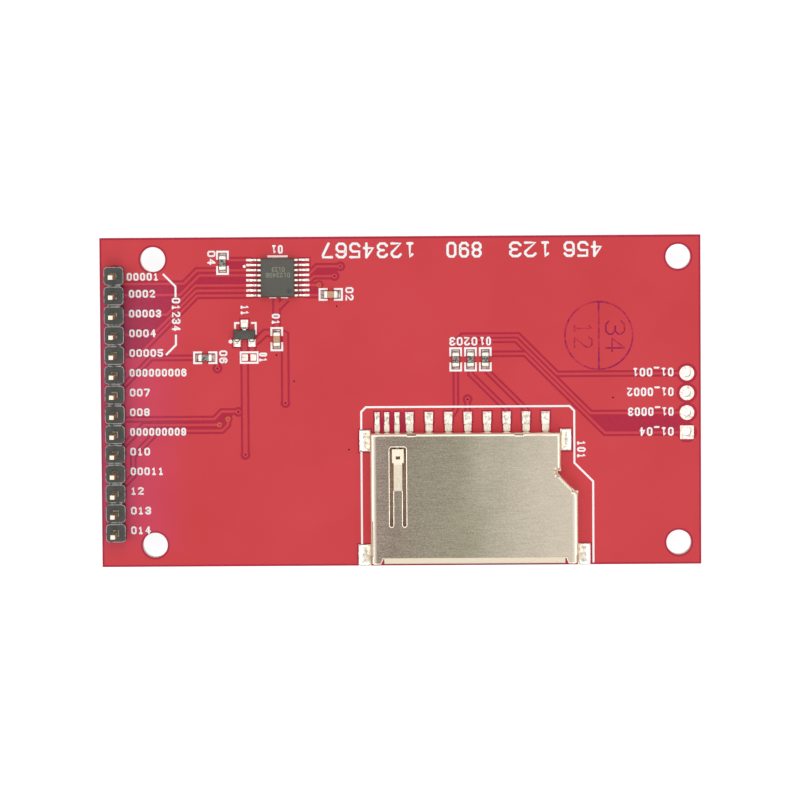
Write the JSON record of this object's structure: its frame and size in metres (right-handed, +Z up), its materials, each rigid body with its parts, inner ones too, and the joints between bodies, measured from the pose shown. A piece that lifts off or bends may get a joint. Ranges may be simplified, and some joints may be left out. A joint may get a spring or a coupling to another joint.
{
  "type": "tft display module",
  "caption": "Rectangular red circuit board with a right-hand card socket and a row of pins on its back, and a backlit touch display stuck to its front.",
  "frame": {"origin": "centre of the board's outline, on the touch face that the module lies on", "axes": "+X along the board from the pin header to the card signal holes, +Y across it away from the card slot, +Z up from the touch face to the pins"},
  "size_m": [0.0772, 0.0424, 0.0142],
  "materials": {
    "lacquered_laminate": "translucent red solder resist over woven glass laminate, bare cut edges",
    "lacquered_copper": "red solder resist over copper foil, satin gloss",
    "tinned_copper": "hot-air-levelled solder, slightly mottled",
    "bare_copper": "plated copper rings seen through thin resist",
    "white_ink": "screen-printed white epoxy ink",
    "stamp_ink": "thin rubber-stamp ink",
    "black_nylon": "moulded black glass-filled nylon",
    "plated_pin": "drawn square wire with a bright pale gold flash",
    "solder": "bright wetted solder",
    "chip_epoxy": "moulded epoxy, fine matt surface",
    "tinned_lead": "matt tin plate",
    "resistor_glaze": "glazed resistor face",
    "capacitor_ceramic": "fired tan ceramic",
    "stamped_steel": "rolled and stamped nickel-plated sheet with fine grain along X",
    "socket_polymer": "moulded black liquid-crystal polymer",
    "plated_contact": "stamped spring bronze with a gold flash",
    "touch_film": "dark-looking glossy hard-coated film",
    "clear_adhesive": "clear adhesive rim",
    "clear_glass": "clear sheet glass",
    "amber_flex": "amber polyimide flex",
    "black_tape": "black double-sided tape",
    "polariser": "dark polarising film",
    "silicon": "bare ground silicon",
    "light_film": "translucent light-shaping film",
    "light_guide": "clear moulded acrylic",
    "reflector_film": "bright reflective film",
    "led_body": "white package with a pale yellow window",
    "white_moulding": "white moulded polycarbonate",
    "foam": "white foam tape"
  },
  "bodies": {
    "root": {"board": "lacquered_laminate", "back_copper": "lacquered_copper", "front_copper": "lacquered_copper", "header_rings": "tinned_copper", "card_rings": "tinned_copper", "vias": "bare_copper", "back_pads": "tinned_copper", "flex_pads": "tinned_copper", "legend": "white_ink", "ink_stamp": "stamp_ink", "header_strip": "black_nylon", "header_pins": "plated_pin", "header_solder": "solder", "touch_chip": "chip_epoxy", "touch_chip_leads": "tinned_lead", "regulator": "chip_epoxy", "regulator_leads": "tinned_lead", "resistor_1": "resistor_glaze", "resistor_1_ends": "tinned_lead", "resistor_2": "resistor_glaze", "resistor_2_ends": "tinned_lead", "resistor_3": "resistor_glaze", "resistor_3_ends": "tinned_lead", "resistor_4": "resistor_glaze", "resistor_4_ends": "tinned_lead", "resistor_6": "resistor_glaze", "resistor_6_ends": "tinned_lead", "capacitor_1": "capacitor_ceramic", "capacitor_1_ends": "tinned_lead", "capacitor_2": "capacitor_ceramic", "capacitor_2_ends": "tinned_lead", "socket_shell": "stamped_steel", "socket_base": "socket_polymer", "card_contacts": "plated_contact", "detect_contacts": "plated_contact", "touch_film": "touch_film", "touch_spacer": "clear_adhesive", "touch_glass": "clear_glass", "touch_tail": "amber_flex", "panel_tape": "black_tape", "upper_polariser": "polariser", "filter_glass": "clear_glass", "array_glass": "clear_glass", "driver_chip": "silicon", "display_flex": "amber_flex", "lower_polariser": "polariser", "shading_rim": "black_tape", "prism_film": "light_film", "diffuser_film": "light_film", "light_guide": "light_guide", "reflector": "reflector_film", "led_flex": "amber_flex", "leds": "led_body", "light_frame": "white_moulding", "foam_tape": "foam"}
  },
  "joints": []
}
